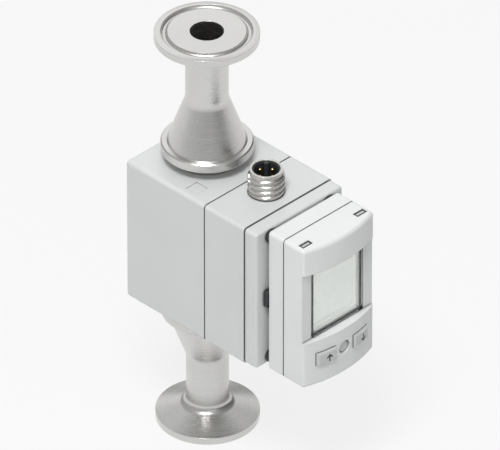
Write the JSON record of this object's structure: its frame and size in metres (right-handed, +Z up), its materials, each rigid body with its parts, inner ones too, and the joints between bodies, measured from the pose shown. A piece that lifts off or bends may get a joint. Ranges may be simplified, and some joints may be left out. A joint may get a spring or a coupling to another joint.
{
  "type": "flow sensor",
  "caption": "In-line flow sensor with clamp ferrules on a vertical pipe, a box housing, a round plug connector and a swivelling display head with arrow keys.",
  "frame": {"origin": "centre of the inlet ferrule's face, on the pipe axis", "axes": "+Z up the pipe axis from inlet to outlet, -Y towards the display, +X to the right seen from the display"},
  "size_m": [0.0398, 0.0802, 0.1512],
  "materials": {
    "steel": "fine turned, satin",
    "screws": "bright zinc",
    "seals": "matt black",
    "housing": "fine moulded grain, light grey",
    "head": "smooth moulded, pale grey",
    "dark_plastic": "matt black",
    "sensor_plastic": "smooth natural",
    "connector": "nickel plated",
    "contacts": "gold plated",
    "board": "solder mask, green",
    "window": "clear, polished",
    "display": "pale grey display, off",
    "light": "clear light guide, unlit",
    "keys": "mid grey keys"
  },
  "bodies": {
    "housing": {"inlet_adapter": "steel", "outlet_adapter": "steel", "inlet_o_ring": "seals", "outlet_o_ring": "seals", "measuring_pipe": "steel", "paddle_sensor": "sensor_plastic", "sensor_o_ring": "seals", "sensor_clamp": "steel", "clamp_screws": "screws", "sensor_pins": "contacts", "measuring_housing": "housing", "housing_gasket": "seals", "electronics_housing": "housing", "carrier_gasket": "seals", "head_carrier": "housing", "housing_screws": "screws", "connector_shell": "connector", "connector_insert": "dark_plastic", "connector_pins": "contacts", "connector_o_ring": "seals", "connector_board": "board", "main_board": "board", "board_screws": "screws", "main_lead_plug": "dark_plastic"},
    "head": {"swivel_plate": "dark_plastic", "swivel_ring": "dark_plastic", "swivel_screws": "screws", "swivel_o_ring": "seals", "head_rear_shell": "head", "head_gasket": "seals", "head_front_cover": "head", "head_screws": "screws", "display_window": "window", "display_module": "display", "display_board": "board", "display_lead_plug": "dark_plastic", "head_lead": "dark_plastic", "left_status_light": "light", "right_status_light": "light", "key_switches": "dark_plastic"},
    "up_key": {"up_button": "keys", "up_plunger": "keys"},
    "down_key": {"down_button": "keys", "down_plunger": "keys"},
    "enter_key": {"enter_button": "keys", "enter_plunger": "keys"}
  },
  "joints": [
    {"name": "head_swivel", "type": "hinge", "parent": "housing", "child": "head", "pos_m": [0, -0.0427, 0.0756], "axis": [0, -1, 0], "range_deg": [-90, 180]},
    {"name": "up_press", "type": "slide", "parent": "head", "child": "up_key", "axis": [0, 1, 0], "range_m": [0, 0.0005], "stiffness_N_per_m": 4000, "springref_m": -0.0002},
    {"name": "down_press", "type": "slide", "parent": "head", "child": "down_key", "axis": [0, 1, 0], "range_m": [0, 0.0005], "stiffness_N_per_m": 4000, "springref_m": -0.0002},
    {"name": "enter_press", "type": "slide", "parent": "head", "child": "enter_key", "axis": [0, 1, 0], "range_m": [0, 0.0005], "stiffness_N_per_m": 4000, "springref_m": -0.0002}
  ]
}
